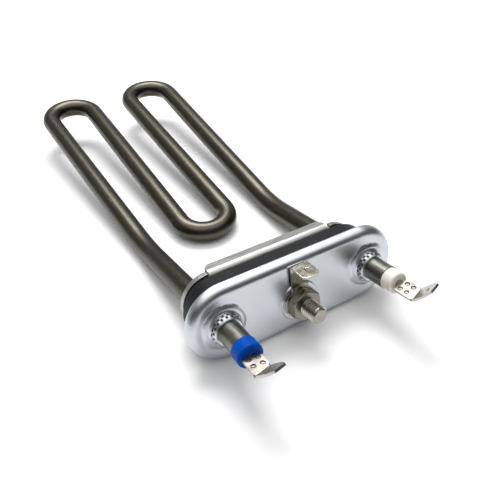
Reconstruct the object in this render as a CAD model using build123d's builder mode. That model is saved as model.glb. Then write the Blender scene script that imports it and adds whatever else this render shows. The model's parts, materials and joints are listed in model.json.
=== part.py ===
from build123d import *
from math import asin, atan2, cos, degrees, hypot, radians, sin, tan
import os

# Tubular heating element for a wash tub, lying on a flat surface. Millimetres.
# +X runs along the flange, +Y points back along the tubes and +Z is up. The floor is z = 0.

os.makedirs("parts", exist_ok=True)

# Driving dimensions. "Back" is the depth behind the front plate's face, "up" is the height above
# the two tube axes, and both are measured square to the flange.
SHEATH_R = 4.0
SHEATH_WALL = 0.6
LEG_X = 28.0
BEND_BACK = 52.2
BEND_R = 60.0
BEND_ANGLE = 15.6
BEND_TWIST = 6.1
OUTER_LEG = 93.0
FAR_BEND_R = 10.5
INNER_LEG = 93.8

SHEET = 1.5
BACK_SHEET = 2.0
PLATE_LENGTH = 79.8
PLATE_HEIGHT = 26.8
PLATE_UP = 0.1
PLATE_DEPTH = 3.4
PLATE_EDGE_R = 3.1
STUD_UP = -2.6

GASKET_LIP_LENGTH = PLATE_LENGTH - 2 * SHEET
GASKET_LIP_HEIGHT = PLATE_HEIGHT - 2 * SHEET
GASKET_LIP_BACK = 4.6
GASKET_LENGTH = 72.4
GASKET_HEIGHT = 22.0
GASKET_BODY_BACK = 12.6
GASKET_NECK_LENGTH = 69.2
GASKET_NECK_HEIGHT = 18.8
BACK_PLATE_FRONT = 14.6
BACK_PLATE_LENGTH = 69.6
BACK_PLATE_HEIGHT = 20.4
LIP_HALF_LENGTH = 23.6
LIP_REACH = 5.6
LIP_BEND_R = 2.6
LIP_CORNER = 1.6

DOME_R = 8.2
DOME_RISE = 0.9
NECK_R = 5.3
NECK_FRONT = 3.6
CRIMP_R = 4.8
CRIMP_NOTCHES = 16
PAD_R = 7.2
PAD_RISE = 0.5

STUD_R = 3.0
STUD_SHANK_R = 2.7
STUD_HOLE_R = 3.2
STUD_FRONT = -11.6
STUD_STEP = -5.0
STUD_CHAMFER = 0.7
STUD_HEAD_R = 6.0
STUD_HEAD = 2.4
NUT_FLATS = 10.0
NUT_THICK = 3.4
NUT_BEVEL = 0.55
NUT_TURN = 30.0
TAB_SHEET = 0.8
TAB_WIDTH = 6.3

COIL_R = 1.65
COIL_WALL = 0.3
COIL_BACK = 42.0
PIN_IN_COIL = 5.0
PIN_R = COIL_R - COIL_WALL
PIN_FRONT = -22.6
PIN_FLAT_UP = -0.4
SEAL_LENGTH = 3.5
SPIGOT = 3.0

# Each end of the tube: where its mouth is, its bush's size, and how far its tab is rolled.
ENDS = {
    "left": {"x": -LEG_X, "mouth": -12.5, "r": 4.3, "length": 4.6, "edge": 0.9, "roll": -3.0},
    "right": {"x": LEG_X, "mouth": -11.4, "r": 3.75, "length": 4.6, "edge": 0.8, "roll": 8.0},
}
# The left end was bent a little outwards and down in handling, just in front of its collar.
STUB_OUT = 3.0
STUB_DOWN = 1.8
STUB_BEND_FROM = -3.9
STUB_BEND_TO = ENDS["left"]["mouth"] + SPIGOT

FOOT_BACK = -16.4
FOOT_FRONT = -24.1
FOLD_SKEW = 18.0
SPADE_LENGTH = 8.1
SPADE_RISE = 38.5
SPADE_CHAMFER = 1.2
SPADE_HOLE_R = 0.75
SPADE_HOLE_AT = 5.2
FOLD_NOTCH_R = 0.55
WELD_R = 0.75
WELD_DEPTH = 0.2
WELD_SPACING_X = 3.0
WELD_SPACING_Y = 2.8
WELD_FROM_EDGE = 1.9

EARTH_UP = 12.0
EARTH_DROP = 0.8
EARTH_FRONT = -8.6
EARTH_BASE_R = 6.3
EARTH_CHAMFER = 1.2
EARTH_BEND_R = 1.3

# The tube's shape in the flange's own frame: a straight cold leg, a bend up, a heated leg, a far
# bend, an inner leg and the middle bend, then the same again mirrored.
theta = radians(BEND_ANGLE)
twist = radians(BEND_TWIST)


def bend_point(angle):
    """A point of the right bend's centreline. The bend's plane is turned outwards by the twist."""
    lift = BEND_R * (1 - cos(angle))
    return LEG_X + lift * sin(twist), lift * cos(twist), BEND_BACK + BEND_R * sin(angle)


end_x, end_up, end_back = bend_point(theta)
splay = asin(sin(theta) * sin(twist))
slope = atan2(sin(theta) * cos(twist), cos(theta))
far_x = end_x + OUTER_LEG * sin(splay)
far_s = OUTER_LEG * cos(splay)
far_centre = (far_x - FAR_BEND_R * cos(splay), far_s + FAR_BEND_R * sin(splay))
MIDDLE_BEND_R = far_centre[0] - FAR_BEND_R
middle_s = far_centre[1] - INNER_LEG
apex_s = middle_s - MIDDLE_BEND_R

# The lean at rest: the front plate's lower back edge and the middle bend's underside touch
# the floor together.
drop = PLATE_HEIGHT / 2 - PLATE_UP
reach = end_back + apex_s * cos(slope) - PLATE_DEPTH
rise = drop + end_up + apex_s * sin(slope)
lean = atan2(rise, reach) - asin(SHEATH_R / hypot(reach, rise))
# The far bends and the spade tips stand equally far from the origin, front and back.
FACE_Y = -72.5
FACE_Z = drop * cos(lean) + PLATE_DEPTH * sin(lean)
FRONT = Vector(0, -cos(lean), sin(lean))
UP = Vector(0, sin(lean), cos(lean))
BODY_ORIGIN = Vector(0, FACE_Y, FACE_Z)


def place(x, up, back):
    """A point of the flange's own frame, in the part's frame."""
    return BODY_ORIGIN + Vector(x, 0, 0) + UP * up - FRONT * back


def face_plane(back, x=0.0, up=0.0):
    """A plane square to the tubes: its X is the part's X, its Y is up and its Z points forward."""
    return Plane(origin=place(x, up, back), x_dir=(1, 0, 0), z_dir=FRONT)


def section_plane(x, up=0.0):
    """A plane through a tube's axis: its X is the part's X and its Y points forward."""
    return Plane(origin=place(x, up, 0), x_dir=(1, 0, 0), z_dir=-UP)


def side_plane(x=0.0):
    """A plane across the flange: its X points forward and its Y is up."""
    return Plane(origin=place(x, 0, 0), x_dir=FRONT, z_dir=FRONT.cross(UP))


def label(part, name):
    part.label = name
    export_step(part, f"parts/{name}.step")


def heated(x, s):
    """A point in the plane of the heated legs, s beyond the bend's end."""
    return place(x, end_up + s * sin(slope), end_back + s * cos(slope))


def far_point(angle):
    """A point of the right far bend, by its angle from +X."""
    return heated(far_centre[0] + FAR_BEND_R * cos(angle), far_centre[1] + FAR_BEND_R * sin(angle))


def mirrored(point):
    return Vector(-point.X, point.Y, point.Z)


# The bend of the left end: its direction afterwards, the side it turns to and its radius.
stub_ahead = (FRONT * (cos(radians(STUB_OUT)) * cos(radians(STUB_DOWN)))
              - Vector(sin(radians(STUB_OUT)) * cos(radians(STUB_DOWN)), 0, 0)
              - UP * sin(radians(STUB_DOWN)))
stub_turn = radians(FRONT.get_angle(stub_ahead))
stub_aside = (stub_ahead - FRONT * cos(stub_turn)).normalized()
stub_bend_r = (STUB_BEND_FROM - STUB_BEND_TO) / stub_turn


def end_turn(side, back):
    """How far an end has turned from the flange's axis, by the distance along its leg."""
    if side == "right" or back > STUB_BEND_FROM:
        return 0.0
    return (STUB_BEND_FROM - max(back, STUB_BEND_TO)) / stub_bend_r


def end_ahead(side, back):
    turned = end_turn(side, back)
    return FRONT * cos(turned) + stub_aside * sin(turned)


def end_point(side, back):
    """A point of a cold leg's centreline, by the distance along it behind the plate's face."""
    turned = end_turn(side, back)
    if turned == 0.0:
        return place(ENDS[side]["x"], 0, back)
    bent = FRONT * stub_bend_r * sin(turned) + stub_aside * stub_bend_r * (1 - cos(turned))
    beyond = max(STUB_BEND_TO - back, 0.0)
    return place(-LEG_X, 0, STUB_BEND_FROM) + bent + stub_ahead * beyond


def end_plane(side, back):
    """A plane square to a leg: its Z points forward, and its X is rolled with the terminal tab."""
    forward = end_ahead(side, back)
    level = UP.cross(forward).normalized()
    roll = radians(ENDS[side]["roll"])
    return Plane(origin=end_point(side, back), x_dir=level * cos(roll) + forward.cross(level) * sin(roll),
                 z_dir=forward)


def end_line(side, first_back, last_back):
    """The centreline of a cold leg between two distances along it, from back to front."""
    with BuildLine() as leg:
        if side == "right" or last_back > STUB_BEND_FROM:
            Line(end_point(side, first_back), end_point(side, last_back))
        else:
            if first_back > STUB_BEND_FROM:
                Line(end_point(side, first_back), end_point(side, STUB_BEND_FROM))
            arc_from = min(first_back, STUB_BEND_FROM)
            arc_to = max(last_back, STUB_BEND_TO)
            arc_mid = (arc_from + arc_to) / 2
            ThreePointArc(end_point(side, arc_from), end_point(side, arc_mid), end_point(side, arc_to))
            if last_back < STUB_BEND_TO:
                Line(end_point(side, STUB_BEND_TO), end_point(side, last_back))
    return leg.line


def element_route(right_back, left_back):
    """The centreline of the whole tube, from the right cold leg to the left one."""
    start = place(LEG_X, 0, right_back)
    bend_start = place(LEG_X, 0, BEND_BACK)
    bend_mid = place(*bend_point(theta / 2))
    bend_end = place(end_x, end_up, end_back)
    far_start = far_point(-splay)
    far_mid = far_point(radians(90) - splay / 2)
    far_end = far_point(radians(180))
    middle_start = heated(MIDDLE_BEND_R, middle_s)
    middle_mid = heated(0, middle_s - MIDDLE_BEND_R)
    half = [bend_start, bend_mid, bend_end, far_start, far_mid, far_end, middle_start]
    back = [mirrored(point) for point in half]
    with BuildLine() as route:
        Line(start, half[0])
        ThreePointArc(half[0], half[1], half[2])
        Line(half[2], half[3])
        ThreePointArc(half[3], half[4], half[5])
        Line(half[5], half[6])
        ThreePointArc(half[6], middle_mid, back[6])
        Line(back[6], back[5])
        ThreePointArc(back[5], back[4], back[3])
        Line(back[3], back[2])
        ThreePointArc(back[2], back[1], back[0])
        add(end_line("left", BEND_BACK, left_back))
    return route.line


# Sheath: one drawn stainless tube, filled and then bent.
with BuildPart() as sheath:
    with BuildSketch(end_plane("right", ENDS["right"]["mouth"])):
        Circle(SHEATH_R)
        Circle(SHEATH_R - SHEATH_WALL, mode=Mode.SUBTRACT)
    sweep(path=element_route(ENDS["right"]["mouth"], ENDS["left"]["mouth"]))
label(sheath.part, "sheath")

# Heating coil: the wound resistance wire, drawn as a plain sleeve of the winding's size.
with BuildPart() as heating_coil:
    with BuildSketch(end_plane("right", COIL_BACK)):
        Circle(COIL_R)
        Circle(COIL_R - COIL_WALL, mode=Mode.SUBTRACT)
    sweep(path=element_route(COIL_BACK, COIL_BACK))
label(heating_coil.part, "heating_coil")

# Cold pins: steel rods held in the coil's ends and led out to the terminals, with a flat on the
# end that carries the terminal tab.
bore_r = SHEATH_R - SHEATH_WALL
cold_pins = {}
for side in ENDS:
    with BuildPart() as cold_pin:
        with BuildSketch(end_plane(side, COIL_BACK + PIN_IN_COIL)):
            Circle(PIN_R)
        sweep(path=end_line(side, COIL_BACK + PIN_IN_COIL, PIN_FRONT))
        with BuildSketch(end_plane(side, FOOT_BACK)):
            with Locations((0, (PIN_R + PIN_FLAT_UP) / 2)):
                Rectangle(2 * PIN_R, PIN_R - PIN_FLAT_UP)
        extrude(amount=FOOT_BACK - PIN_FRONT, mode=Mode.SUBTRACT)
    cold_pins[side] = cold_pin.part
    label(cold_pin.part, f"cold_pin_{side}")

# Powder fill: compacted magnesium oxide around the coil and inside its turns.
fill_end = {side: end["mouth"] + SPIGOT + SEAL_LENGTH for side, end in ENDS.items()}
with BuildPart() as powder_fill:
    with BuildSketch(end_plane("right", fill_end["right"])):
        Circle(bore_r)
    sweep(path=element_route(fill_end["right"], fill_end["left"]))
    add(heating_coil.part, mode=Mode.SUBTRACT)
    for pin in cold_pins.values():
        add(pin, mode=Mode.SUBTRACT)
label(powder_fill.part, "powder_fill")

# End seals and bushes: a resin plug in each mouth of the sheath and, before it, a bush
# with a spigot in the mouth and a rounded collar outside.
for side, end in ENDS.items():
    with BuildPart() as end_seal:
        with BuildSketch(end_plane(side, fill_end[side])):
            Circle(bore_r)
            Circle(PIN_R, mode=Mode.SUBTRACT)
        sweep(path=end_line(side, fill_end[side], fill_end[side] - SEAL_LENGTH))
    label(end_seal.part, f"end_seal_{side}")

    with BuildPart() as insulator:
        with BuildSketch(end_plane(side, end["mouth"] + SPIGOT)):
            Circle(bore_r)
        extrude(amount=SPIGOT)
        with BuildSketch(end_plane(side, end["mouth"])):
            Circle(end["r"])
        extrude(amount=end["length"])
        rims = insulator.edges().filter_by(GeomType.CIRCLE).filter_by(lambda e: e.radius > end["r"] - 0.01)
        front_rim = rims.sort_by(Axis(place(0, 0, 0), FRONT))[-1]
        fillet(front_rim, end["edge"])
        with BuildSketch(end_plane(side, end["mouth"] + SPIGOT)):
            Circle(PIN_R)
        extrude(amount=SPIGOT + end["length"] + 1, mode=Mode.SUBTRACT)
        # The tab's foot may start inside the front of the bush.
        with BuildSketch(end_plane(side, FOOT_BACK)):
            Rectangle(TAB_WIDTH, TAB_SHEET)
        extrude(amount=end["length"], mode=Mode.SUBTRACT)
    label(insulator.part, f"insulator_{side}")

# Terminal tabs: a foot welded on the pin's flat by four spots, and a spade folded up
# along a slightly skewed line.
skew = radians(FOLD_SKEW)
fold_length = TAB_WIDTH / cos(skew)
for side in ENDS:
    # In the foot's plane, X runs across the tab, Y points back and Z points up.
    square = end_plane(side, FOOT_BACK)
    across, upward, forward = square.x_dir, square.y_dir, square.z_dir
    foot_plane = Plane(origin=square.origin + forward * FOOT_BACK, x_dir=across, z_dir=upward)
    half = TAB_WIDTH / 2
    swing = half * tan(skew)
    fold_left = (-half, FOOT_FRONT - swing)
    fold_right = (half, FOOT_FRONT + swing)
    fold_dir = across * cos(skew) - forward * sin(skew)
    ahead = forward * cos(skew) + across * sin(skew)
    lift = radians(SPADE_RISE)
    spade_dir = ahead * cos(lift) + upward * sin(lift)
    fold_mid = end_point(side, FOOT_FRONT)
    spade_plane = Plane(origin=fold_mid, x_dir=spade_dir, z_dir=spade_dir.cross(fold_dir))
    with BuildPart() as terminal_tab:
        with BuildSketch(foot_plane):
            with BuildLine():
                Polyline((-half, FOOT_BACK), (half, FOOT_BACK), fold_right, fold_left, close=True)
            make_face()
        extrude(amount=TAB_SHEET / 2, both=True)
        with BuildSketch(spade_plane):
            with BuildLine():
                side_y = fold_length / 2
                tip = SPADE_LENGTH
                cut = SPADE_CHAMFER
                Polyline((0, -side_y), (tip - 2 * cut, -side_y), (tip, -side_y + cut),
                         (tip, side_y - cut), (tip - 2 * cut, side_y), (0, side_y), close=True)
            make_face()
        extrude(amount=TAB_SHEET / 2, both=True)
        with BuildSketch(Plane(origin=fold_mid - fold_dir * (fold_length / 2), z_dir=fold_dir)):
            Circle(TAB_SHEET / 2)
        extrude(amount=fold_length)
        with BuildSketch(spade_plane):
            with Locations((SPADE_HOLE_AT, 0)):
                Circle(SPADE_HOLE_R)
            with Locations((0, -side_y), (0, side_y)):
                Circle(FOLD_NOTCH_R)
        extrude(amount=TAB_SHEET, both=True, mode=Mode.SUBTRACT)
        weld_y = FOOT_BACK - WELD_FROM_EDGE - WELD_SPACING_Y / 2
        with BuildSketch(foot_plane.offset(TAB_SHEET / 2)):
            with Locations((0, weld_y)):
                with GridLocations(WELD_SPACING_X, WELD_SPACING_Y, 2, 2):
                    Circle(WELD_R)
        extrude(amount=-WELD_DEPTH, mode=Mode.SUBTRACT)
    label(terminal_tab.part, f"terminal_tab_{side}")

# Front plate: a pressed pan with a rounded rim, a raised dome and a drawn, crimped neck
# around each tube, and a raised pad around the stud.
with BuildPart() as front_plate:
    with BuildSketch(face_plane(PLATE_DEPTH, 0, PLATE_UP)):
        SlotOverall(PLATE_LENGTH, PLATE_HEIGHT)
    extrude(amount=PLATE_DEPTH)
    along = Axis(place(0, 0, 0), FRONT)
    fillet(front_plate.faces().sort_by(along)[-1].edges(), PLATE_EDGE_R)
    offset(amount=-SHEET, openings=front_plate.faces().sort_by(along)[0])
    for x in (-LEG_X, LEG_X):
        with BuildSketch(face_plane(SHEET + 1, x)):
            Circle(DOME_R)
        extrude(amount=SHEET + 2, mode=Mode.SUBTRACT)
        with BuildSketch(section_plane(x)):
            with BuildLine():
                Polyline((SHEATH_R, NECK_FRONT), (CRIMP_R, NECK_FRONT), (NECK_R, NECK_FRONT - 0.7),
                         (NECK_R, DOME_RISE + 0.9))
                Spline((NECK_R, DOME_RISE + 0.9), (NECK_R + 0.5, DOME_RISE + 0.25),
                       (NECK_R + 1.3, DOME_RISE))
                Spline((NECK_R + 1.3, DOME_RISE), (DOME_R - 0.7, DOME_RISE * 0.45), (DOME_R, 0))
                Polyline((DOME_R, 0), (DOME_R, -SHEET), (DOME_R - 1.4, DOME_RISE - SHEET),
                         (SHEATH_R + 0.5, DOME_RISE - SHEET), (SHEATH_R, DOME_RISE - SHEET + 0.5),
                         (SHEATH_R, NECK_FRONT))
            make_face()
        revolve(axis=Axis(place(x, 0, 0), FRONT))
        with BuildSketch(face_plane(-NECK_FRONT, x)):
            with PolarLocations(CRIMP_R + 0.1, CRIMP_NOTCHES):
                Rectangle(0.9, 0.45)
        extrude(amount=-1.0, mode=Mode.SUBTRACT)
    with BuildSketch(face_plane(0, 0, STUD_UP)):
        Circle(PAD_R)
    extrude(amount=PAD_RISE, taper=30)
    with BuildSketch(face_plane(SHEET + 1, 0, STUD_UP)):
        Circle(STUD_HOLE_R)
    extrude(amount=SHEET + PAD_RISE + 2, mode=Mode.SUBTRACT)
label(front_plate.part, "front_plate")

# Gasket: one rubber moulding with a lip inside the pan, a body that fits the tub's hole
# and a waist behind it that spreads when the plates are drawn together.
with BuildPart() as gasket:
    with BuildSketch(face_plane(GASKET_LIP_BACK, 0, PLATE_UP)):
        SlotOverall(GASKET_LIP_LENGTH, GASKET_LIP_HEIGHT)
    extrude(amount=GASKET_LIP_BACK - SHEET)
    front_face = gasket.faces().sort_by(Axis(place(0, 0, 0), FRONT))[-1]
    fillet(front_face.edges(), PLATE_EDGE_R - SHEET + 0.4)
    with BuildSketch(face_plane(GASKET_BODY_BACK, 0, PLATE_UP)):
        SlotOverall(GASKET_LENGTH, GASKET_HEIGHT)
    extrude(amount=GASKET_BODY_BACK - GASKET_LIP_BACK)
    behind = gasket.faces().sort_by(Axis(place(0, 0, 0), FRONT))[0]
    chamfer(behind.edges(), 0.8)
    with BuildSketch(face_plane(BACK_PLATE_FRONT, 0, PLATE_UP)):
        SlotOverall(GASKET_NECK_LENGTH, GASKET_NECK_HEIGHT)
    extrude(amount=BACK_PLATE_FRONT - GASKET_BODY_BACK)
    with BuildSketch(face_plane(BACK_PLATE_FRONT, 0, 0)):
        with Locations((-LEG_X, 0), (LEG_X, 0)):
            Circle(SHEATH_R)
        with Locations((0, STUD_UP)):
            Circle(STUD_HOLE_R)
    extrude(amount=BACK_PLATE_FRONT, mode=Mode.SUBTRACT)
label(gasket.part, "gasket")

# Back plate: flat steel with a lip folded back along its straight top edge.
plate_back = BACK_PLATE_FRONT + BACK_SHEET
top_up = PLATE_UP + BACK_PLATE_HEIGHT / 2
with BuildPart() as back_plate:
    with BuildSketch(face_plane(plate_back, 0, PLATE_UP)):
        SlotOverall(BACK_PLATE_LENGTH, BACK_PLATE_HEIGHT)
    extrude(amount=BACK_SHEET)
    # The fold's outer corner is cleared first, then the rounded lip is added in its place.
    with BuildSketch(face_plane(plate_back, 0, top_up - LIP_BEND_R / 2)):
        Rectangle(2 * LIP_HALF_LENGTH + 1.6, LIP_BEND_R)
    extrude(amount=BACK_SHEET, mode=Mode.SUBTRACT)
    with BuildSketch(side_plane(-LIP_HALF_LENGTH)):
        with BuildLine():
            inner_r = LIP_BEND_R - BACK_SHEET
            front_x = -BACK_PLATE_FRONT
            tail_x = front_x - LIP_REACH
            bend_up = top_up - LIP_BEND_R
            Line((front_x, bend_up - 1), (front_x, bend_up))
            RadiusArc((front_x, bend_up), (front_x - LIP_BEND_R, top_up), -LIP_BEND_R)
            Polyline((front_x - LIP_BEND_R, top_up), (tail_x, top_up), (tail_x, top_up - BACK_SHEET),
                     (front_x - LIP_BEND_R, top_up - BACK_SHEET))
            RadiusArc((front_x - LIP_BEND_R, top_up - BACK_SHEET), (front_x - BACK_SHEET, bend_up), inner_r)
            Polyline((front_x - BACK_SHEET, bend_up), (front_x - BACK_SHEET, bend_up - 1),
                     (front_x, bend_up - 1))
        make_face()
    extrude(amount=-2 * LIP_HALF_LENGTH)
    far_edges = back_plate.edges().filter_by(Axis(place(0, 0, 0), UP)).sort_by(Axis(place(0, 0, 0), FRONT))[:2]
    chamfer(far_edges, LIP_CORNER)
    with BuildSketch(face_plane(plate_back, 0, 0)):
        with Locations((-LEG_X, 0), (LEG_X, 0)):
            Circle(SHEATH_R)
        with Locations((0, STUD_UP)):
            Circle(STUD_HOLE_R)
    extrude(amount=BACK_SHEET, mode=Mode.SUBTRACT)
label(back_plate.part, "back_plate")

# Clamp stud: a screw whose head bears on the back plate. Its free end in front of the nut has
# the thread's outer size, and its shank and the part inside the nut have the pitch size.
with BuildPart() as clamp_stud:
    with BuildSketch(face_plane(plate_back + STUD_HEAD, 0, STUD_UP)):
        Circle(STUD_HEAD_R)
    extrude(amount=STUD_HEAD)
    chamfer(clamp_stud.faces().sort_by(Axis(place(0, 0, 0), FRONT))[0].edges(), 0.4)
    with BuildSketch(face_plane(plate_back, 0, STUD_UP)):
        Circle(STUD_SHANK_R)
    extrude(amount=plate_back - STUD_STEP)
    with BuildSketch(face_plane(STUD_STEP, 0, STUD_UP)):
        Circle(STUD_R)
    extrude(amount=STUD_STEP - STUD_FRONT)
    chamfer(clamp_stud.faces().sort_by(Axis(place(0, 0, 0), FRONT))[-1].edges(), STUD_CHAMFER)
label(clamp_stud.part, "clamp_stud")

# Clamp nut: a thin hexagon nut with its corners turned off at both ends.
nut_back = -PAD_RISE - TAB_SHEET
nut_corner_r = NUT_FLATS / 2 / cos(radians(30))
with BuildPart() as clamp_nut:
    with BuildSketch(face_plane(nut_back, 0, STUD_UP)):
        RegularPolygon(NUT_FLATS / 2, 6, major_radius=False, rotation=NUT_TURN)
        Circle(STUD_SHANK_R, mode=Mode.SUBTRACT)
    extrude(amount=NUT_THICK)
    with BuildSketch(section_plane(0, STUD_UP)):
        with BuildLine():
            low = -nut_back
            high = low + NUT_THICK
            Polyline((0, low), (NUT_FLATS / 2 - 0.1, low), (nut_corner_r, low + NUT_BEVEL),
                     (nut_corner_r, high - NUT_BEVEL), (NUT_FLATS / 2 - 0.1, high), (0, high), close=True)
        make_face()
    revolve(axis=Axis(place(0, STUD_UP, 0), FRONT), mode=Mode.INTERSECT)
label(clamp_nut.part, "clamp_nut")

# Earth tab: a strap held under the nut, bent up the plate's face and then forward as a spade.
with BuildPart() as earth_tab:
    with BuildSketch(face_plane(-PAD_RISE, 0, STUD_UP)):
        RegularPolygon(EARTH_BASE_R, 8, rotation=22.5)
    extrude(amount=TAB_SHEET)
    with BuildSketch(side_plane(-TAB_WIDTH / 2)) as strap_side:
        with BuildLine():
            front_x = PAD_RISE + TAB_SHEET
            outer_corner = (PAD_RISE, EARTH_UP)
            inner_corner = (front_x, EARTH_UP - TAB_SHEET)
            tip_up = EARTH_UP - EARTH_DROP
            Polyline((PAD_RISE, STUD_UP + STUD_R), outer_corner, (-EARTH_FRONT, tip_up),
                     (-EARTH_FRONT, tip_up - TAB_SHEET), inner_corner, (front_x, STUD_UP + STUD_R), close=True)
        make_face()
        fillet(strap_side.vertices().sort_by_distance(outer_corner)[0], EARTH_BEND_R)
        fillet(strap_side.vertices().sort_by_distance(inner_corner)[0], EARTH_BEND_R - TAB_SHEET)
    extrude(amount=-TAB_WIDTH)
    corners = earth_tab.edges().filter_by(Axis(place(0, 0, 0), UP)).sort_by(Axis(place(0, 0, 0), FRONT))[-2:]
    chamfer(corners, EARTH_CHAMFER)
    with BuildSketch(Plane(origin=place(0, EARTH_UP, 0), x_dir=(1, 0, 0), z_dir=UP)):
        with Locations((0, (EARTH_FRONT - PAD_RISE) / 2)):
            Rectangle(2.2, 0.5)
            Rectangle(0.6, 1.8)
    extrude(amount=-2 * TAB_SHEET, mode=Mode.SUBTRACT)
    with BuildSketch(face_plane(-PAD_RISE, 0, STUD_UP)):
        Circle(STUD_HOLE_R)
    extrude(amount=TAB_SHEET, mode=Mode.SUBTRACT)
label(earth_tab.part, "earth_tab")

print(f"lean {degrees(lean):.2f} degrees, middle bend radius {MIDDLE_BEND_R:.2f}")
pieces = [sheath, front_plate, gasket, back_plate, clamp_stud, clamp_nut, earth_tab, terminal_tab]
low_y = min(piece.part.bounding_box().min.Y for piece in pieces)
high_y = max(piece.part.bounding_box().max.Y for piece in pieces)
low_z = min(piece.part.bounding_box().min.Z for piece in pieces)
print(f"y from {low_y:.2f} to {high_y:.2f}, lowest z {low_z:.3f}")
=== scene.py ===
import bpy
import json
import math
from mathutils import Matrix, Vector

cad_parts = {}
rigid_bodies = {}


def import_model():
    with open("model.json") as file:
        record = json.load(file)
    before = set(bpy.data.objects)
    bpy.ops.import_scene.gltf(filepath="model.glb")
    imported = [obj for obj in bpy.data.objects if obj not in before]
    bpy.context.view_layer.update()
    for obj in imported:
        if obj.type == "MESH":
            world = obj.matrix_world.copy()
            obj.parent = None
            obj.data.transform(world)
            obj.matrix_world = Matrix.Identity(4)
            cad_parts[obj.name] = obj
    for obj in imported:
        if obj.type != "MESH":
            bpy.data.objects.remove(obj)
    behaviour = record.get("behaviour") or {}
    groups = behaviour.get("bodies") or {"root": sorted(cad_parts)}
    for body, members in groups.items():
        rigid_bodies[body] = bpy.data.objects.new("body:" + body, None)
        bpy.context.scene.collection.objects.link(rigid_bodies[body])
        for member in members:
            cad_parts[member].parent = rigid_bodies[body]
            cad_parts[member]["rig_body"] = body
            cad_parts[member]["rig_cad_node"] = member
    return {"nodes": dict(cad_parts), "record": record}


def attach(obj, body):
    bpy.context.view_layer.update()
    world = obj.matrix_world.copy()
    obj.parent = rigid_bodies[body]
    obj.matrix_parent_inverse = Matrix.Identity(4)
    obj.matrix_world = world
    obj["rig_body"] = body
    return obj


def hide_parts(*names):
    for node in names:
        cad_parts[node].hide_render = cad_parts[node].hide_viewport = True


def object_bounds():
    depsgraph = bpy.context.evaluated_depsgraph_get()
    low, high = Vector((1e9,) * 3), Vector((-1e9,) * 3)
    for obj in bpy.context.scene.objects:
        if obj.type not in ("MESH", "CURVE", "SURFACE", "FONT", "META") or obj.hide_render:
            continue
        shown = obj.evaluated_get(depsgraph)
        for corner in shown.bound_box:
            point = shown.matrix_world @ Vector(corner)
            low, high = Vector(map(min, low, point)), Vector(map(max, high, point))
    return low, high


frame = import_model()
cad_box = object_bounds()

# Camera: a close, three-quarter view from above the terminals, looking back along the tubes.
# Its place, aim and lens were found by setting the tube, terminals and flange on the photograph.
SENSOR = 36.0
LENS = 46.82
EYE = (-0.09064, -0.19411, 0.15022)
EYE_RIGHT = (0.8578, -0.5132, -0.0276)
EYE_FORWARD = (0.3949, 0.6925, -0.6038)
camera_data = bpy.data.cameras.new("photo_camera")
camera_data.sensor_width = SENSOR
camera_data.lens = LENS
camera_data.clip_start = 0.01
camera_data.clip_end = 10.0
camera = bpy.data.objects.new("photo_camera", camera_data)
bpy.context.scene.collection.objects.link(camera)
bpy.context.scene.camera = camera
looking = Vector(EYE_FORWARD).normalized()
lift = Vector(EYE_RIGHT).normalized().cross(looking).normalized()
view = Matrix((looking.cross(lift), lift, -looking)).transposed().to_4x4()
camera.matrix_world = Matrix.Translation(EYE) @ view

# Floor: a seamless white paper table top, matt, with soft shadows. Its white comes from the
# paper's own colour and a little glow that only the camera and the reflections see.
MM = 0.001
FLOOR_SIZE = 3.0


def colour(code):
    """The linear colour of an sRGB hex code such as 'c9ced4'."""
    channels = [int(code[i:i + 2], 16) / 255 for i in (0, 2, 4)]
    return [c / 12.92 if c <= 0.04045 else ((c + 0.055) / 1.055) ** 2.4 for c in channels] + [1.0]


def spaced(size):
    """The scale of a pattern that repeats about every so many millimetres."""
    return 1 / (size * MM)


def material(name):
    """An empty material, ready for its nodes."""
    made = bpy.data.materials.new(name)
    made.use_nodes = True
    made.node_tree.nodes.clear()
    return made


def node(finish, kind, settings=None, inputs=None, links=None):
    """Adds one node to a finish, with its settings, its socket values and its links."""
    added = finish.node_tree.nodes.new(kind)
    for key, value in (settings or {}).items():
        setattr(added, key, value)
    for socket, value in (inputs or {}).items():
        added.inputs[socket].default_value = value
    for socket, source in (links or {}).items():
        finish.node_tree.links.new(source, added.inputs[socket])
    return added


def dress(obj, finish):
    """Gives the whole of a piece one finish."""
    obj.data.materials.clear()
    obj.data.materials.append(finish)


bpy.ops.object.select_all(action="DESELECT")
bpy.ops.mesh.primitive_grid_add(x_subdivisions=8, y_subdivisions=8, size=FLOOR_SIZE)
floor = bpy.context.object
floor.name = "paper_floor"
floor.data.transform(Matrix.Translation((0, 0, cad_box[0].z)))
paper = material("white_paper_matt")
paper_place = node(paper, "ShaderNodeTexCoord").outputs["Object"]
# The paper's tone drifts a little, over about 250 mm.
mottle = node(paper, "ShaderNodeTexNoise", inputs={"Scale": spaced(250.0)},
              links={"Vector": paper_place})
tone = node(paper, "ShaderNodeMix", {"data_type": "RGBA"},
            {"A": colour("f1f1f2"), "B": colour("efefef")}, {"Factor": mottle.outputs["Fac"]})
matt = node(paper, "ShaderNodeBsdfDiffuse", links={"Color": tone.outputs["Result"]})
glow = node(paper, "ShaderNodeEmission", inputs={"Color": colour("ffffff"), "Strength": 0.05})
both = node(paper, "ShaderNodeAddShader", links={0: matt.outputs[0], 1: glow.outputs[0]})
path = node(paper, "ShaderNodeLightPath")
seen = node(paper, "ShaderNodeMath", {"operation": "MAXIMUM"},
            links={0: path.outputs["Is Camera Ray"], 1: path.outputs["Is Glossy Ray"]})
shown = node(paper, "ShaderNodeMixShader",
             links={0: seen.outputs[0], 1: matt.outputs[0], 2: both.outputs[0]})
node(paper, "ShaderNodeOutputMaterial", links={"Surface": shown.outputs[0]})
dress(floor, paper)

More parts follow.
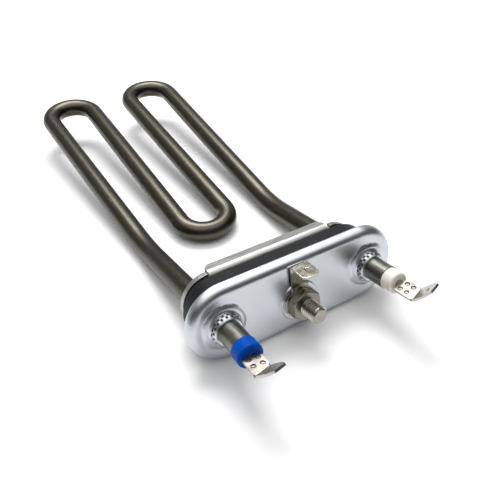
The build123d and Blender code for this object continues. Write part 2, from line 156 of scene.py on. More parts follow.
# Sheath: one long stainless tube, drawn, filled and bent, then darkened by annealing to a
# satin brown-grey. The drawing leaves faint lines along it, and handling leaves pale scuffs.
COLD_FROM = -55.0
COLD_TO = -70.0
nodes = frame["nodes"]
sheath_steel = material("stainless_tube_annealed_satin")
sheath_place = node(sheath_steel, "ShaderNodeTexCoord").outputs["Object"]
# Marks of the drawing are twenty times as long as they are wide.
along = node(sheath_steel, "ShaderNodeMapping", inputs={"Scale": (1.0, 0.05, 1.0)},
             links={"Vector": sheath_place})
# The lines are about 0.3 mm apart, drawn that coarse so that they show.
lines = node(sheath_steel, "ShaderNodeTexNoise", inputs={"Scale": spaced(0.303), "Detail": 3.0},
             links={"Vector": along.outputs[0]})
# Heat tint changes slowly, over about 20 mm.
heat = node(sheath_steel, "ShaderNodeTexNoise", inputs={"Scale": spaced(20.0), "Detail": 4.0},
            links={"Vector": sheath_place})
warm = node(sheath_steel, "ShaderNodeMix", {"data_type": "RGBA"},
            {"A": colour("4d4c46"), "B": colour("554f44")}, {"Factor": heat.outputs["Fac"]})
streak = node(sheath_steel, "ShaderNodeMapRange",
              inputs={"From Min": 0.3, "From Max": 0.7, "To Min": 0.86, "To Max": 1.1},
              links={"Value": lines.outputs["Fac"]})
# The cold ends, in front of the flange, were not annealed and stay lighter.
axes = node(sheath_steel, "ShaderNodeSeparateXYZ", links={"Vector": sheath_place})
cold = node(sheath_steel, "ShaderNodeMapRange",
            inputs={"From Min": COLD_FROM * MM, "From Max": COLD_TO * MM},
            links={"Value": axes.outputs["Y"]})
ends = node(sheath_steel, "ShaderNodeMix", {"data_type": "RGBA"}, {"B": colour("7d7b72")},
            {"Factor": cold.outputs[0], "A": warm.outputs["Result"]})
shade = node(sheath_steel, "ShaderNodeMix", {"data_type": "RGBA", "blend_type": "MULTIPLY"},
             {"Factor": 1.0}, {"A": ends.outputs["Result"], "B": streak.outputs[0]})
# Scuffs are short pale rubs, about 2.4 mm apart where there are any.
rubs = node(sheath_steel, "ShaderNodeTexNoise", inputs={"Scale": spaced(2.38), "Detail": 5.0},
            links={"Vector": along.outputs[0]})
rare = node(sheath_steel, "ShaderNodeMapRange",
            inputs={"From Min": 0.70, "From Max": 0.78, "To Min": 0.0, "To Max": 0.55},
            links={"Value": rubs.outputs["Fac"]})
scuffed = node(sheath_steel, "ShaderNodeMix", {"data_type": "RGBA"}, {"B": colour("a9a69d")},
               {"Factor": rare.outputs[0], "A": shade.outputs["Result"]})
satin = node(sheath_steel, "ShaderNodeMapRange",
             inputs={"From Min": 0.25, "From Max": 0.75, "To Min": 0.27, "To Max": 0.39},
             links={"Value": lines.outputs["Fac"]})
grain = node(sheath_steel, "ShaderNodeBump", inputs={"Strength": 0.12, "Distance": 0.03 * MM},
             links={"Height": lines.outputs["Fac"]})
tube = node(sheath_steel, "ShaderNodeBsdfPrincipled", inputs={"Metallic": 1.0},
            links={"Base Color": scuffed.outputs["Result"], "Roughness": satin.outputs[0],
                   "Normal": grain.outputs[0]})
node(sheath_steel, "ShaderNodeOutputMaterial", links={"Surface": tube.outputs[0]})
dress(nodes["sheath"], sheath_steel)

# Inner pieces: the wound resistance wire, the white magnesia packed round it and the resin
# plugs in the tube's ends. All of them are sealed inside the sheath.
wire = material("resistance_wire_bare")
wire_place = node(wire, "ShaderNodeTexCoord").outputs["Object"]
# Each turn of the wire, about 1.1 mm, has its own tone.
wire_tone = node(wire, "ShaderNodeTexNoise", inputs={"Scale": spaced(1.11)},
                 links={"Vector": wire_place})
wire_tint = node(wire, "ShaderNodeMix", {"data_type": "RGBA"},
                 {"A": colour("7d7a74"), "B": colour("938f88")},
                 {"Factor": wire_tone.outputs["Fac"]})
wire_metal = node(wire, "ShaderNodeBsdfPrincipled", inputs={"Metallic": 1.0, "Roughness": 0.4},
                  links={"Base Color": wire_tint.outputs["Result"]})
node(wire, "ShaderNodeOutputMaterial", links={"Surface": wire_metal.outputs[0]})
dress(nodes["heating_coil"], wire)


def powdery(name, light, dark, grit):
    """A dull packed or cast filling, mottled at the size of its grit in millimetres."""
    filling = material(name)
    place = node(filling, "ShaderNodeTexCoord").outputs["Object"]
    grains = node(filling, "ShaderNodeTexNoise", inputs={"Scale": spaced(grit)},
                  links={"Vector": place})
    mixed = node(filling, "ShaderNodeMix", {"data_type": "RGBA"},
                 {"A": colour(light), "B": colour(dark)}, {"Factor": grains.outputs["Fac"]})
    rough = node(filling, "ShaderNodeBump", inputs={"Strength": 0.3, "Distance": 0.05 * MM},
                 links={"Height": grains.outputs["Fac"]})
    body = node(filling, "ShaderNodeBsdfPrincipled", inputs={"Roughness": 0.85},
                links={"Base Color": mixed.outputs["Result"], "Normal": rough.outputs[0]})
    node(filling, "ShaderNodeOutputMaterial", links={"Surface": body.outputs[0]})
    return filling


dress(nodes["powder_fill"], powdery("magnesia_packed", "e6e4df", "d2cfc8", 0.3))
seal_resin = powdery("silicone_resin_cast", "b9b2a4", "a39b8c", 0.5)
for side in ("left", "right"):
    dress(nodes[f"end_seal_{side}"], seal_resin)

# Front plate: one pressed steel pan, zinc plated bright. The plating has a bluish cast with
# soft clouds, and the pressing leaves the face very slightly wavy.
MERGED_WITHIN = 0.0002
FLAT_WITHIN = 0.4
zinc = material("zinc_plated_steel_bright")
zinc_place = node(zinc, "ShaderNodeTexCoord").outputs["Object"]
# Clouds and waves are about 14 mm across. The plating's pits are about 0.6 mm, drawn that
# coarse so that they show.
clouds = node(zinc, "ShaderNodeTexNoise", inputs={"Scale": spaced(14.3), "Detail": 3.0},
              links={"Vector": zinc_place})
pits = node(zinc, "ShaderNodeTexNoise", inputs={"Scale": spaced(0.625), "Detail": 2.0},
            links={"Vector": zinc_place})
zinc_tint = node(zinc, "ShaderNodeMix", {"data_type": "RGBA"},
                 {"A": colour("c0c6cf"), "B": colour("cacdce")}, {"Factor": clouds.outputs["Fac"]})
zinc_rough = node(zinc, "ShaderNodeMapRange",
                  inputs={"From Min": 0.3, "From Max": 0.7, "To Min": 0.27, "To Max": 0.38},
                  links={"Value": clouds.outputs["Fac"]})
waves = node(zinc, "ShaderNodeBump", inputs={"Strength": 0.25, "Distance": 0.4 * MM},
             links={"Height": clouds.outputs["Fac"]})
zinc_skin = node(zinc, "ShaderNodeBump", inputs={"Strength": 0.12, "Distance": 0.02 * MM},
                 links={"Height": pits.outputs["Fac"], "Normal": waves.outputs[0]})
zinc_metal = node(zinc, "ShaderNodeBsdfPrincipled", inputs={"Metallic": 1.0},
                  links={"Base Color": zinc_tint.outputs["Result"],
                         "Roughness": zinc_rough.outputs[0], "Normal": zinc_skin.outputs[0]})
node(zinc, "ShaderNodeOutputMaterial", links={"Surface": zinc_metal.outputs[0]})


def select_only(obj):
    """Selects one piece and nothing else, and makes it the active one."""
    bpy.ops.object.select_all(action="DESELECT")
    obj.select_set(True)
    bpy.context.view_layer.objects.active = obj


def softened(name, new_name, edge, segments=2, sharp=38.0):
    """A copy of a node's mesh with its triangles merged, its sharp edges rounded by so many
    millimetres and its flats true. Edges sharper than so many degrees count as sharp."""
    piece = nodes[name].copy()
    piece.data = nodes[name].data.copy()
    piece.name = new_name
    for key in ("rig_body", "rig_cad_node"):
        del piece[key]
    piece.parent = None
    bpy.context.scene.collection.objects.link(piece)
    select_only(piece)
    if piece.data.has_custom_normals:
        bpy.ops.mesh.customdata_custom_splitnormals_clear()
    bpy.ops.object.mode_set(mode="EDIT")
    bpy.ops.mesh.select_all(action="SELECT")
    bpy.ops.mesh.remove_doubles(threshold=MERGED_WITHIN * MM)
    bpy.ops.mesh.dissolve_limited(angle_limit=math.radians(FLAT_WITHIN))
    bpy.ops.object.mode_set(mode="OBJECT")
    bevel = piece.modifiers.new("edge", "BEVEL")
    bevel.width = edge * MM
    bevel.segments = segments
    bevel.angle_limit = math.radians(sharp)
    bpy.ops.object.modifier_apply(modifier=bevel.name)
    bpy.ops.object.shade_smooth_by_angle(angle=math.radians(sharp))
    flats = piece.modifiers.new("flats", "WEIGHTED_NORMAL")
    flats.keep_sharp = True
    bpy.ops.object.modifier_apply(modifier=flats.name)
    return piece


plate = softened("front_plate", "front_plate_pressing", edge=0.12, sharp=52.0)
dress(plate, zinc)
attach(plate, "root")
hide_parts("front_plate")

# Crimped collars: the drawn necks of the front plate, of the same plated steel, closed on the
# tubes by two rows of pressed notches. The notches' faces are painted dark, as painted shade.
STUD_UP = -2.6
MOUNT_FORWARD = 7.95
SEAM_WITHIN = 0.0001
NECK_FOOT = 1.6
NECK_BORE = 4.1
NECK_R = 5.4
NECK_DRAWN_TO = 4.4
COLLAR = ((4.02, 0.6), (5.36, 0.6), (5.4, 1.7), (5.36, 2.55), (5.05, 3.3), (4.6, 3.75), (4.02, 3.7))
COLLAR_WALL = 4.8
TEETH = 19
TOOTH_STEPS = 4
TOOTH_DEPTH = 0.4
TOOTH_EDGE = 0.03
COLLAR_SHARP = 32.0
# The rows stand in alternate places round the neck: from, to, and which steps of each tooth.
ROWS = ((1.7, 2.55, (0, 1)), (2.55, 3.3, (2, 3)))

# The flange's own directions come from the stud's mount, and the plate's face lies behind the
# mount's middle. A point on the flange is given as (x, up, forward), in millimetres.
mounts = {mount["name"]: mount for mount in frame["record"]["mounts"]}
leg_x = mounts["spade_right"]["pos_m"][0] / MM
ahead = Vector(mounts["stud_end"]["axis"]).normalized()
up = Vector((0, ahead.z, -ahead.y))
face = Vector(mounts["stud_end"]["pos_m"]) - up * STUD_UP * MM - ahead * MOUNT_FORWARD * MM
facing = Matrix((Vector((1, 0, 0)), up, ahead)).transposed().to_4x4()
on_flange = Matrix.Translation(face) @ facing


def seat(obj, x, height):
    """Turns a piece made about the Z axis to face forward, and sets it on the flange, in place."""
    obj.data.transform(on_flange @ Matrix.Translation((x * MM, height * MM, 0)))
    obj.data.update()


def outline(name, points):
    """A line of joined vertices in the XZ plane, drawn point by point, in millimetres."""
    bpy.ops.object.select_all(action="DESELECT")
    first = Vector((points[0][0], 0, points[0][1])) * MM
    bpy.ops.mesh.primitive_plane_add(size=MM, location=first)
    traced = bpy.context.object
    traced.name = name
    bpy.ops.object.transform_apply(location=True)
    bpy.ops.object.mode_set(mode="EDIT")
    bpy.ops.mesh.select_all(action="SELECT")
    bpy.ops.mesh.merge(type="CENTER")
    for (x0, z0), (x1, z1) in zip(points, points[1:]):
        step = ((x1 - x0) * MM, 0, (z1 - z0) * MM)
        bpy.ops.mesh.extrude_region_move(TRANSFORM_OT_translate={"value": step})
    bpy.ops.object.mode_set(mode="OBJECT")
    return traced


def turned(name, points, steps):
    """A closed profile turned about the Z axis, as on a lathe."""
    shape = outline(name, [*points, points[0]])
    select_only(shape)
    lathe = shape.modifiers.new("lathe", "SCREW")
    lathe.axis = "Z"
    lathe.steps = steps
    lathe.render_steps = steps
    lathe.use_merge_vertices = True
    lathe.merge_threshold = SEAM_WITHIN * MM
    bpy.ops.object.modifier_apply(modifier=lathe.name)
    bpy.ops.object.mode_set(mode="EDIT")
    bpy.ops.mesh.select_all(action="SELECT")
    bpy.ops.mesh.remove_doubles(threshold=SEAM_WITHIN * MM)
    bpy.ops.mesh.normals_make_consistent(inside=False)
    bpy.ops.object.mode_set(mode="OBJECT")
    return shape


def in_notch(middle):
    """Whether a face of the collar, given by its middle, is where a notch was pressed."""
    round_neck = math.atan2(middle.y, middle.x) / math.tau % 1
    step = int(round_neck * TEETH * TOOTH_STEPS) % TOOTH_STEPS
    in_row = any(low < middle.z < high and step in steps for low, high, steps in ROWS)
    return middle.xy.length > COLLAR_WALL and in_row


def press_notches(collar):
    """Presses the notches in, leaving a thin edge round each."""
    select_only(collar)
    bpy.context.tool_settings.mesh_select_mode = (False, False, True)
    bpy.ops.object.mode_set(mode="EDIT")
    bpy.ops.mesh.select_all(action="DESELECT")
    bpy.ops.object.mode_set(mode="OBJECT")
    for polygon in collar.data.polygons:
        polygon.select = in_notch(polygon.center / MM)
    bpy.ops.object.mode_set(mode="EDIT")
    bpy.ops.mesh.inset(thickness=TOOTH_EDGE * MM)
    bpy.ops.object.mode_set(mode="OBJECT")
    bpy.context.tool_settings.mesh_select_mode = (True, False, False)
    for vertex in collar.data.vertices:
        if vertex.select:
            inward = 1 - TOOTH_DEPTH * MM / vertex.co.xy.length
            vertex.co = (vertex.co.x * inward, vertex.co.y * inward, vertex.co.z)


# Painted shade: a dark matt finish for the notches' faces, standing in for the shade in them.
notch_shade = powdery("painted_shade_in_notches", "43474c", "1a1c1f", 0.5)
off_flange = on_flange.inverted()
for side, x in (("left", -leg_x), ("right", leg_x)):
    # The plate's own plain neck is drawn in below the collar, so that the notches stay open.
    for vertex in plate.data.vertices:
        spot = off_flange @ vertex.co / MM
        away = math.hypot(spot.x - x, spot.y)
        if spot.z > NECK_FOOT and NECK_BORE < away < NECK_R:
            inward = NECK_DRAWN_TO / away
            drawn_in = Vector((x + (spot.x - x) * inward, spot.y * inward, spot.z))
            vertex.co = on_flange @ (drawn_in * MM)
    collar = turned(f"crimp_collar_{side}", COLLAR, TEETH * TOOTH_STEPS)
    press_notches(collar)
    bpy.ops.object.shade_smooth_by_angle(angle=math.radians(COLLAR_SHARP))
    seat(collar, x, 0)
    dress(collar, zinc)
    collar.data.materials.append(notch_shade)
    for polygon in collar.data.polygons:
        polygon.material_index = int(polygon.select)
    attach(collar, "root")

# Gasket: one black EPDM moulding, slightly glossy on its walls, with a bloom of pale dust and
# release agent. It is softer than the plates, so its edges are well rounded.
rubber = material("epdm_rubber_moulded")
rubber_place = node(rubber, "ShaderNodeTexCoord").outputs["Object"]
# The bloom comes in patches of about 5.5 mm.
bloom = node(rubber, "ShaderNodeTexNoise",
             inputs={"Scale": spaced(5.56), "Detail": 6.0, "Roughness": 0.65},
             links={"Vector": rubber_place})
dust = node(rubber, "ShaderNodeMapRange",
            inputs={"From Min": 0.54, "From Max": 0.74, "To Min": 0.0, "To Max": 0.3},
            links={"Value": bloom.outputs["Fac"]})
black = node(rubber, "ShaderNodeMix", {"data_type": "RGBA"},
             {"A": colour("0c0e10"), "B": colour("45484b")}, {"Factor": dust.outputs[0]})
# The mould's spark finish has a grit of about 0.25 mm, coarser than real so that it shows.
spark = node(rubber, "ShaderNodeTexNoise", inputs={"Scale": spaced(0.25), "Detail": 2.0},
             links={"Vector": rubber_place})
rubber_skin = node(rubber, "ShaderNodeBump", inputs={"Strength": 0.25, "Distance": 0.04 * MM},
                   links={"Height": spark.outputs["Fac"]})
rubber_body = node(rubber, "ShaderNodeBsdfPrincipled",
                   inputs={"Roughness": 0.5, "IOR": 1.45, "Specular IOR Level": 0.25},
                   links={"Base Color": black.outputs["Result"],
                          "Normal": rubber_skin.outputs[0]})
node(rubber, "ShaderNodeOutputMaterial", links={"Surface": rubber_body.outputs[0]})
moulding = softened("gasket", "gasket_moulding", edge=0.35, segments=3)
dress(moulding, rubber)
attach(moulding, "root")
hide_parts("gasket")

# Back plate: a flat cold-rolled steel blank with its top edge folded back, galvanised dull
# grey. The rolling leaves a fine straight grain along the flange.
galvanised = material("cold_rolled_steel_galvanised")
galvanised_place = node(galvanised, "ShaderNodeTexCoord").outputs["Object"]
# The grain's lines are about 0.25 mm apart, coarser than real so that they show, and
# twenty-five times as long.
rolled = node(galvanised, "ShaderNodeMapping", inputs={"Scale": (0.04, 1.0, 1.0)},
              links={"Vector": galvanised_place})
roll_lines = node(galvanised, "ShaderNodeTexNoise",
                  inputs={"Scale": spaced(0.25), "Detail": 3.0},
                  links={"Vector": rolled.outputs[0]})
steel_tint = node(galvanised, "ShaderNodeMix", {"data_type": "RGBA"},
                  {"A": colour("6c6c6a"), "B": colour("cacac7")},
                  {"Factor": roll_lines.outputs["Fac"]})
steel_rough = node(galvanised, "ShaderNodeMapRange",
                   inputs={"From Min": 0.3, "From Max": 0.7, "To Min": 0.30, "To Max": 0.44},
                   links={"Value": roll_lines.outputs["Fac"]})
steel_skin = node(galvanised, "ShaderNodeBump", inputs={"Strength": 0.2, "Distance": 0.03 * MM},
                  links={"Height": roll_lines.outputs["Fac"]})
steel_metal = node(galvanised, "ShaderNodeBsdfPrincipled", inputs={"Metallic": 1.0},
                   links={"Base Color": steel_tint.outputs["Result"],
                          "Roughness": steel_rough.outputs[0], "Normal": steel_skin.outputs[0]})
node(galvanised, "ShaderNodeOutputMaterial", links={"Surface": steel_metal.outputs[0]})
blank = softened("back_plate", "back_plate_blank", edge=0.15)
dress(blank, galvanised)
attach(blank, "root")
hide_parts("back_plate")

# Clamp screw: an M6 steel screw with a rolled thread, nickel plated with a warm cast. Shade is
# painted into the thread's grooves, and its turned end has a shallow dimple.
STUD_R = mounts["stud_end"]["dims"]["r_mm"]
STUD_FRONT = 11.6
STUD_CHAMFER = 0.7
THREAD_FROM = 4.6
THREAD_TO = STUD_FRONT - 0.3
THREAD_ROOT = 2.4
PITCH = 1.0
CREST = (0.44, 0.56)
SPARE_TURNS = 3
# Past this radius the colour has no painted shade, and towards this point on the end the painted
# shade lightens.
UNSHADED_R = STUD_R - 0.2
UNSHADED_FRONT = STUD_FRONT - 0.5
TIP_BACK = STUD_FRONT - 1.0
TIP_CORE_R = 2.1
TIP_R = 2.6
DIMPLE_R = 1.5
DIMPLE_FLOOR_R = 0.7
DIMPLE = 0.25
SHANK_R = 2.68
SHANK_FRONT = THREAD_FROM + 0.2
HEAD_R = 6.0
HEAD_FRONT = -16.6
HEAD_BACK = -19.0
HEAD_CHAMFER = 0.5
HEAD_EDGE = 0.2
LATHE_STEPS = 48
THREAD_STEPS = 40
THREAD_SEAM_WITHIN = 0.001
SCREW_SHARP = 35.0


def tinted_metal(name, dark, light, rough, spots):
    """A metal finish with two tints and a range of roughness, in spots of so many millimetres.
    Gives the finish, its Object coordinates, its tints and its shader."""
    finish = material(name)
    place = node(finish, "ShaderNodeTexCoord").outputs["Object"]
    stain = node(finish, "ShaderNodeTexNoise", inputs={"Scale": spaced(spots), "Detail": 4.0},
                 links={"Vector": place})
    tints = node(finish, "ShaderNodeMix", {"data_type": "RGBA"},
                 {"A": colour(dark), "B": colour(light)}, {"Factor": stain.outputs["Fac"]})
    dull = node(finish, "ShaderNodeMapRange",
                inputs={"From Min": 0.3, "From Max": 0.7, "To Min": rough[0], "To Max": rough[1]},
                links={"Value": stain.outputs["Fac"]})
    skin = node(finish, "ShaderNodeBump", inputs={"Strength": 0.2, "Distance": 0.03 * MM},
                links={"Height": stain.outputs["Fac"]})
    body = node(finish, "ShaderNodeBsdfPrincipled", inputs={"Metallic": 1.0},
                links={"Base Color": tints.outputs["Result"], "Roughness": dull.outputs[0],
                       "Normal": skin.outputs[0]})
    node(finish, "ShaderNodeOutputMaterial", links={"Surface": body.outputs[0]})
    return finish, place, tints, body


def off_screw(finish, place):
    """Where a point is from the screw's middle on the plate's face, and how far from its axis."""
    offset = node(finish, "ShaderNodeVectorMath", {"operation": "SUBTRACT"},
                  {1: face + up * STUD_UP * MM}, {0: place})
    sideways = node(finish, "ShaderNodeVectorMath", {"operation": "CROSS_PRODUCT"}, {1: ahead},
                    {0: offset.outputs[0]})
    distance = node(finish, "ShaderNodeVectorMath", {"operation": "LENGTH"},
                    links={0: sideways.outputs[0]})
    return offset.outputs[0], distance.outputs["Value"]


# Painted shade: the nearer to the screw's axis, the darker the colour, which shades the thread's
# grooves and also the head's middle; the turned end is kept lighter.
nickel, nickel_place, nickel_tint, nickel_metal = tinted_metal(
    "nickel_plated_steel_groove_shade", "b3aea3", "cbc6bb", (0.22, 0.36), 2.0)
from_middle, from_axis = off_screw(nickel, nickel_place)
on_crest = node(nickel, "ShaderNodeMapRange",
                inputs={"From Min": THREAD_ROOT * MM, "From Max": UNSHADED_R * MM, "To Min": 0.08},
                links={"Value": from_axis})
forward = node(nickel, "ShaderNodeVectorMath", {"operation": "DOT_PRODUCT"}, {1: ahead},
               {0: from_middle})
on_end = node(nickel, "ShaderNodeMapRange",
              inputs={"From Min": (STUD_FRONT - STUD_CHAMFER) * MM,
                      "From Max": UNSHADED_FRONT * MM, "To Max": 0.6},
              links={"Value": forward.outputs["Value"]})
unshaded = node(nickel, "ShaderNodeMath", {"operation": "MAXIMUM"},
             links={0: on_crest.outputs[0], 1: on_end.outputs[0]})
groove_shaded = node(nickel, "ShaderNodeMix", {"data_type": "RGBA"}, {"A": colour("26221c")},
              {"Factor": unshaded.outputs[0], "B": nickel_tint.outputs["Result"]})
nickel.node_tree.links.new(groove_shaded.outputs["Result"], nickel_metal.inputs["Base Color"])

# The thread is one ridge's outline wound up the screw, with spare turns that are cut off.
winding_from = THREAD_FROM - SPARE_TURNS / 2 * PITCH
ridge = [(THREAD_ROOT, 0.0), (STUD_R, CREST[0]), (STUD_R, CREST[1]), (THREAD_ROOT, PITCH)]
screw = outline("clamp_screw", [(r, winding_from + z) for r, z in ridge])
select_only(screw)
winding = screw.modifiers.new("winding", "SCREW")
winding.axis = "Z"
winding.steps = THREAD_STEPS
winding.render_steps = THREAD_STEPS
winding.screw_offset = PITCH * MM
winding.iterations = math.ceil((STUD_FRONT - THREAD_FROM) / PITCH) + SPARE_TURNS
bpy.ops.object.modifier_apply(modifier=winding.name)
bpy.ops.object.mode_set(mode="EDIT")
bpy.ops.mesh.select_all(action="SELECT")
bpy.ops.mesh.remove_doubles(threshold=THREAD_SEAM_WITHIN * MM)
for cut, below in ((THREAD_FROM, True), (THREAD_TO, False)):
    bpy.ops.mesh.select_all(action="SELECT")
    bpy.ops.mesh.bisect(plane_co=(0, 0, cut * MM), plane_no=(0, 0, 1), use_fill=True,
                        clear_inner=below, clear_outer=not below)
bpy.ops.mesh.select_all(action="SELECT")
bpy.ops.mesh.normals_make_consistent(inside=False)
bpy.ops.object.mode_set(mode="OBJECT")
# The last turns are taken down to a cone.
for vertex in screw.data.vertices:
    widest = (STUD_R - max(0.0, vertex.co.z / MM - STUD_FRONT + STUD_CHAMFER)) * MM
    inward = min(1.0, widest / vertex.co.xy.length)
    vertex.co = (vertex.co.x * inward, vertex.co.y * inward, vertex.co.z)
tip = turned("screw_tip", [(0, TIP_BACK), (TIP_CORE_R, TIP_BACK), (TIP_R, THREAD_TO),
                           (STUD_R - STUD_CHAMFER, STUD_FRONT), (DIMPLE_R, STUD_FRONT),
                           (DIMPLE_FLOOR_R, STUD_FRONT - DIMPLE), (0, STUD_FRONT - DIMPLE)],
             LATHE_STEPS)
shank = turned("screw_shank", [(0, HEAD_BACK), (HEAD_R - HEAD_CHAMFER, HEAD_BACK),
                               (HEAD_R, HEAD_BACK + HEAD_CHAMFER),
                               (HEAD_R, HEAD_FRONT - HEAD_EDGE), (HEAD_R - HEAD_EDGE, HEAD_FRONT),
                               (SHANK_R, HEAD_FRONT), (SHANK_R, SHANK_FRONT), (0, SHANK_FRONT)],
               LATHE_STEPS)
select_only(screw)
shank.select_set(True)
tip.select_set(True)
bpy.ops.object.join()
bpy.ops.object.shade_smooth_by_angle(angle=math.radians(SCREW_SHARP))
seat(screw, 0, STUD_UP)
dress(screw, nickel)
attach(screw, "root")
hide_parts("clamp_stud")

# Clamp nut: a cold-forged hexagon nut of plain steel, run down on the screw to draw the two
# plates together. A film of oil darkens it, and the spanner has rubbed its edges round.
nut = softened("clamp_nut", "clamp_nut_hex", edge=0.12)
dress(nut, tinted_metal("oiled_steel", "77736a", "949086", (0.26, 0.4), 1.5)[0])
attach(nut, "root")
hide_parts("clamp_nut")

# Earth strap: a stamped, nickel-plated strip held by the nut, its end bent forward as a spade.
# It keeps the thin bright line of a tumbled edge, and its upright has painted shade.
RISER_SHADE_FROM = (6.2, 7.2)
RISER_SHADE_TO = (12.0, 13.6)
strip, strip_place, strip_tint, strip_metal = tinted_metal(
    "nickel_plated_strip", "a8a396", "c6c2b6", (0.14, 0.26), 2.0)
# Painted shade darkens the strip between the nut and the spade, at these distances from the screw.
reach = off_screw(strip, strip_place)[1]
past_nut = node(strip, "ShaderNodeMapRange",
                inputs={"From Min": RISER_SHADE_FROM[0] * MM, "From Max": RISER_SHADE_FROM[1] * MM},
                links={"Value": reach})
below_spade = node(strip, "ShaderNodeMapRange",
                   inputs={"From Min": RISER_SHADE_TO[0] * MM, "From Max": RISER_SHADE_TO[1] * MM,
                           "To Min": 0.85, "To Max": 0.0},
                   links={"Value": reach})
riser_shade = node(strip, "ShaderNodeMath", {"operation": "MULTIPLY"},
             links={0: past_nut.outputs[0], 1: below_spade.outputs[0]})
riser_shaded = node(strip, "ShaderNodeMix", {"data_type": "RGBA"}, {"B": colour("3a372e")},
             {"Factor": riser_shade.outputs[0], "A": strip_tint.outputs["Result"]})
strip.node_tree.links.new(riser_shaded.outputs["Result"], strip_metal.inputs["Base Color"])
strap = softened("earth_tab", "earth_strap", edge=0.12)
dress(strap, strip)
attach(strap, "root")
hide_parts("earth_tab")

# Bushes: the left one is a satin moulding of blue nylon, and the right one is fired steatite,
# off-white and finely grained. Both are pushed into the tube's ends.
nylon = material("nylon_moulded_blue")
nylon_place = node(nylon, "ShaderNodeTexCoord").outputs["Object"]
# Flow marks of the moulding are about 4 mm apart.
flow = node(nylon, "ShaderNodeTexNoise", inputs={"Scale": spaced(3.85), "Detail": 3.0},
            links={"Vector": nylon_place})
nylon_tint = node(nylon, "ShaderNodeMix", {"data_type": "RGBA"},
                  {"A": colour("003f98"), "B": colour("004cb0")}, {"Factor": flow.outputs["Fac"]})
nylon_skin = node(nylon, "ShaderNodeBump", inputs={"Strength": 0.2, "Distance": 0.05 * MM},
                  links={"Height": flow.outputs["Fac"]})
nylon_body = node(nylon, "ShaderNodeBsdfPrincipled",
                  inputs={"Roughness": 0.3, "IOR": 1.45, "Specular IOR Level": 0.08},
                  links={"Base Color": nylon_tint.outputs["Result"],
                         "Normal": nylon_skin.outputs[0]})
node(nylon, "ShaderNodeOutputMaterial", links={"Surface": nylon_body.outputs[0]})

steatite = material("steatite_ceramic_fired")
steatite_place = node(steatite, "ShaderNodeTexCoord").outputs["Object"]
# The fired grain is drawn at about 1.4 mm, coarser than real so that it shows.
fired = node(steatite, "ShaderNodeTexNoise", inputs={"Scale": spaced(1.43), "Detail": 4.0},
             links={"Vector": steatite_place})
steatite_tint = node(steatite, "ShaderNodeMix", {"data_type": "RGBA"},
                     {"A": colour("e9e4da"), "B": colour("dcd6cc")},
                     {"Factor": fired.outputs["Fac"]})
steatite_skin = node(steatite, "ShaderNodeBump", inputs={"Strength": 0.15, "Distance": 0.04 * MM},
                     links={"Height": fired.outputs["Fac"]})
steatite_body = node(steatite, "ShaderNodeBsdfPrincipled", inputs={"Roughness": 0.5, "IOR": 1.56},
                     links={"Base Color": steatite_tint.outputs["Result"],
                            "Normal": steatite_skin.outputs[0]})
node(steatite, "ShaderNodeOutputMaterial", links={"Surface": steatite_body.outputs[0]})
for side, finish in (("left", nylon), ("right", steatite)):
    bush = softened(f"insulator_{side}", f"bush_{side}", edge=0.1)
    dress(bush, finish)
    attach(bush, "root")
    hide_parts(f"insulator_{side}")

# Terminals: a drawn steel pin and a bright tinned steel spade folded up at its end, joined by
# four spot welds that leave small craters with a raised, heat-browned rim.
WELD_R = 0.75
WELD_RIM = 0.13
WELDS_ACROSS = 3.0
WELDS_ALONG = 2.8
WELDS_BEHIND_FOLD = 4.4
FOOT_TOP = 0.4
tinned = tinted_metal("tinned_steel_bright", "b3aea4", "c8c4ba", (0.24, 0.4), 2.8)[0]
scorched = tinted_metal("tin_scorched_by_welding", "4c352b", "6e5a4c", (0.4, 0.6), 0.8)[0]
pin_steel = tinted_metal("drawn_steel_pin", "96928a", "a9a59c", (0.25, 0.4), 2.0)[0]
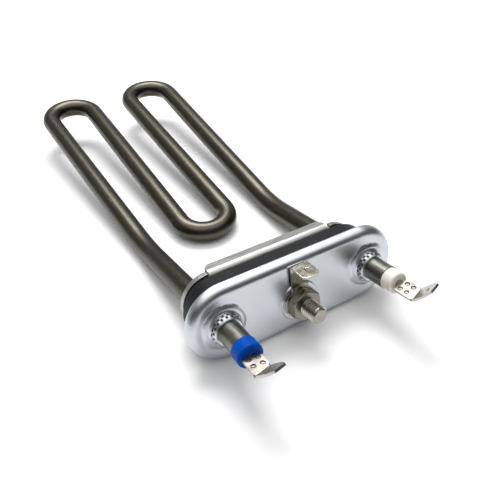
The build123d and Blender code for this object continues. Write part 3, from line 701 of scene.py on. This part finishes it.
# Each foot is rolled a few degrees about its pin.
for side, roll in (("left", math.radians(-3.0)), ("right", math.radians(8.0))):
    dress(nodes[f"cold_pin_{side}"], pin_steel)
    tab = softened(f"terminal_tab_{side}", f"spade_terminal_{side}", edge=0.1)
    dress(tab, tinned)
    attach(tab, "root")
    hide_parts(f"terminal_tab_{side}")

    # The foot's own directions: onward along the pin, across the foot and upward from it.
    fold = mounts[f"spade_{side}"]
    onward = Vector(fold["axis"]).normalized()
    level = up.cross(onward).normalized()
    across = level * math.cos(roll) + onward.cross(level) * math.sin(roll)
    upward = onward.cross(across)
    foot = Vector(fold["pos_m"]) + (upward * FOOT_TOP - onward * WELDS_BEHIND_FOLD) * MM
    lay = Matrix((across, -onward, upward)).transposed().to_4x4()
    rims = []
    for sideways in (-WELDS_ACROSS / 2, WELDS_ACROSS / 2):
        for lengthways in (-WELDS_ALONG / 2, WELDS_ALONG / 2):
            bpy.ops.object.select_all(action="DESELECT")
            bpy.ops.mesh.primitive_torus_add(
                major_radius=WELD_R * MM, minor_radius=WELD_RIM * MM,
                major_segments=28, minor_segments=8)
            rim = bpy.context.object
            spot = foot + (across * sideways + onward * lengthways) * MM
            rim.data.transform(Matrix.Translation(spot) @ lay)
            rims.append(rim)
    select_only(rims[0])
    for rim in rims:
        rim.select_set(True)
    bpy.ops.object.join()
    welds = bpy.context.object
    welds.name = f"weld_rims_{side}"
    bpy.ops.object.shade_smooth()
    dress(welds, scorched)
    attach(welds, "root")


# Light: one large soft panel overhead and a smaller, stronger one above and behind, to the
# right, in a studio that is bright overhead, grey behind the object and dark in front of it.
def panel(name, place, aim, size, power):
    """A soft rectangular lamp, aimed at a point."""
    lamp = bpy.data.lights.new(name, "AREA")
    lamp.shape = "RECTANGLE"
    lamp.size, lamp.size_y = size
    lamp.energy = power
    stand = bpy.data.objects.new(name, lamp)
    bpy.context.scene.collection.objects.link(stand)
    tilt = (Vector(aim) - Vector(place)).to_track_quat("-Z", "Y").to_matrix().to_4x4()
    stand.matrix_world = Matrix.Translation(place) @ tilt


panel("overhead_panel", place=(0.05, 0.02, 0.62), aim=(0.05, 0.02, 0), size=(0.85, 0.76), power=2.2)
panel("back_panel", place=(0.13, 0.34, 0.68), aim=(0, 0, 0), size=(0.44, 0.32), power=4.9)

studio = bpy.data.worlds.new("grey_studio")
studio.use_nodes = True
studio.node_tree.nodes.clear()
studio_place = node(studio, "ShaderNodeTexCoord").outputs["Generated"]
towards = node(studio, "ShaderNodeSeparateXYZ", links={"Vector": studio_place})
wall = node(studio, "ShaderNodeMapRange", {"interpolation_type": "SMOOTHSTEP"},
            {"From Min": -0.1, "From Max": 0.3, "To Min": 0.05, "To Max": 0.34},
            {"Value": towards.outputs["Y"]})
ceiling = node(studio, "ShaderNodeMapRange", {"interpolation_type": "SMOOTHSTEP"},
               {"From Min": 0.6, "From Max": 0.85, "To Max": 0.8},
               {"Value": towards.outputs["Z"], "To Min": wall.outputs[0]})
around = node(studio, "ShaderNodeBackground", inputs={"Color": colour("ffffff")},
              links={"Strength": ceiling.outputs[0]})
node(studio, "ShaderNodeOutputWorld", links={"Surface": around.outputs[0]})
bpy.context.scene.world = studio
bpy.context.scene.view_settings.view_transform = "Standard"
